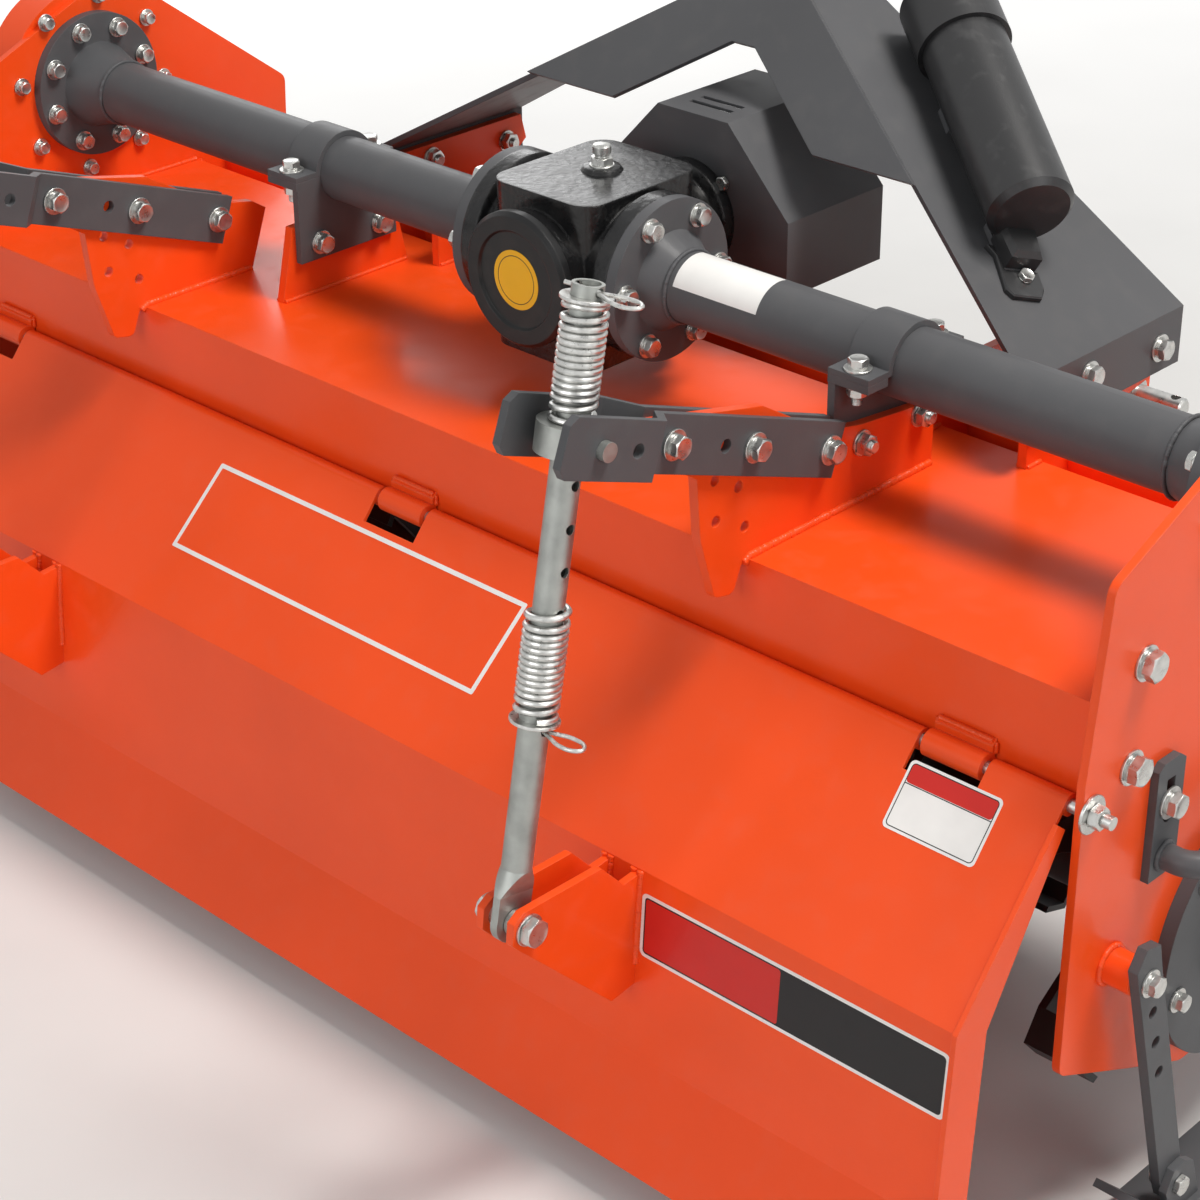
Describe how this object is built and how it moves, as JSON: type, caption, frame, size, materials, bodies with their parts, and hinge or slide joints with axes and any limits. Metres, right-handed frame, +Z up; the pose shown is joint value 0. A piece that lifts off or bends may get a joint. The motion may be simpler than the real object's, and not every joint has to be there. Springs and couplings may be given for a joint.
{
  "type": "rear three-point-hitch rotary tiller",
  "caption": "Tractor-mounted rotary tiller: tined rotor under a folded hood, spring-held hinged tailgate, bevel gearbox on cross tubes, leaning mast and skids.",
  "frame": {"origin": "on the ground, in the middle of the machine's outer box", "axes": "+X to the machine's right, +Y forward in the direction of travel, +Z up"},
  "size_m": [1.676, 1.0192, 0.985],
  "materials": {
    "orange": "gloss",
    "charcoal": "satin",
    "black_casting": "gloss",
    "zinc": "satin",
    "bare_steel": "satin",
    "black_plastic": "matte",
    "tine_steel": "satin"
  },
  "bodies": {
    "frame": {"arms_left": "charcoal", "arms_right": "charcoal", "bearing_carrier_right": "charcoal", "clamp_bracket_left": "charcoal", "clamp_bracket_right": "charcoal", "clamp_stand_left": "orange", "cross_tube_left": "charcoal", "cross_tube_right": "charcoal", "document_tube": "black_plastic", "document_tube_cap": "black_plastic", "document_tube_pads": "charcoal", "front_crossbar": "orange", "gear_case_left": "orange", "gearbox_cap": "black_casting", "gearbox_housing": "black_casting", "guard_plates": "charcoal", "hinge_knuckles": "orange", "hinge_rod": "zinc", "hitch_pin_left": "zinc", "hitch_pin_right": "zinc", "hitch_plate_left": "orange", "hitch_plate_right": "orange", "hood": "orange", "mast_beam_left": "orange", "mast_beam_right": "orange", "mast_leg_left": "charcoal", "mast_leg_right": "charcoal", "mast_web": "charcoal", "shaft_shield": "charcoal", "side_guard": "charcoal", "side_plate_left": "orange", "side_plate_right": "orange", "skid_arm_left": "charcoal", "skid_arm_right": "charcoal", "skid_left": "charcoal", "skid_right": "charcoal", "skid_stub_left": "orange", "skid_stub_right": "orange", "top_link_lugs": "charcoal", "tube_clamp_left": "charcoal", "tube_clamp_right": "charcoal", "upright_left": "orange", "upright_right": "orange"},
    "tailgate": {"tailgate": "orange", "tailgate_ends": "orange", "clevis_lugs": "orange", "clevis_bolts": "zinc"},
    "trunnion_right": {"trunnion_right": "zinc"},
    "trunnion_left": {"trunnion_left": "zinc"},
    "spring_rod_right": {"spring_rod_right": "zinc", "springs_right": "zinc"},
    "spring_rod_left": {"spring_rod_left": "zinc", "springs_left": "zinc"},
    "rotor": {"rotor_tube": "tine_steel", "tine_wheels": "tine_steel"},
    "input_shaft": {"input_shaft": "bare_steel"}
  },
  "joints": [
    {"name": "tailgate_hinge", "type": "hinge", "parent": "frame", "child": "tailgate", "pos_m": [0, -0.209, 0.4734], "axis": [-1, 0, 0], "range_deg": [0, 26]},
    {"name": "trunnion_right_swivel", "type": "hinge", "parent": "frame", "child": "trunnion_right", "pos_m": [0.398, -0.40893, 0.75412], "axis": [-1, 0, 0], "range_deg": [0, 11.34]},
    {"name": "spring_rod_right_slide", "type": "slide", "parent": "trunnion_right", "child": "spring_rod_right", "axis": [0, 0.1857, 0.9826], "range_m": [0, 0.1214]},
    {"name": "trunnion_left_swivel", "type": "hinge", "parent": "frame", "child": "trunnion_left", "pos_m": [-0.452, -0.40893, 0.75412], "axis": [-1, 0, 0], "range_deg": [0, 11.34]},
    {"name": "spring_rod_left_slide", "type": "slide", "parent": "trunnion_left", "child": "spring_rod_left", "axis": [0, 0.1857, 0.9826], "range_m": [0, 0.1214]},
    {"name": "rotor_spin", "type": "hinge", "parent": "frame", "child": "rotor", "pos_m": [0, 0.045, 0.245], "axis": [1, 0, 0], "continuous": true},
    {"name": "input_shaft_spin", "type": "hinge", "parent": "frame", "child": "input_shaft", "pos_m": [0.025, 0.15, 0.695], "axis": [0, 1, 0], "continuous": true}
  ],
  "couplings": [
    {"joint": "trunnion_right_swivel", "follows": "tailgate_hinge", "ratio": 0.4341},
    {"joint": "spring_rod_right_slide", "follows": "tailgate_hinge", "m_per_rad": 0.26712},
    {"joint": "trunnion_left_swivel", "follows": "tailgate_hinge", "ratio": 0.4341},
    {"joint": "spring_rod_left_slide", "follows": "tailgate_hinge", "m_per_rad": 0.26712},
    {"joint": "input_shaft_spin", "follows": "rotor_spin", "ratio": 2.57}
  ]
}
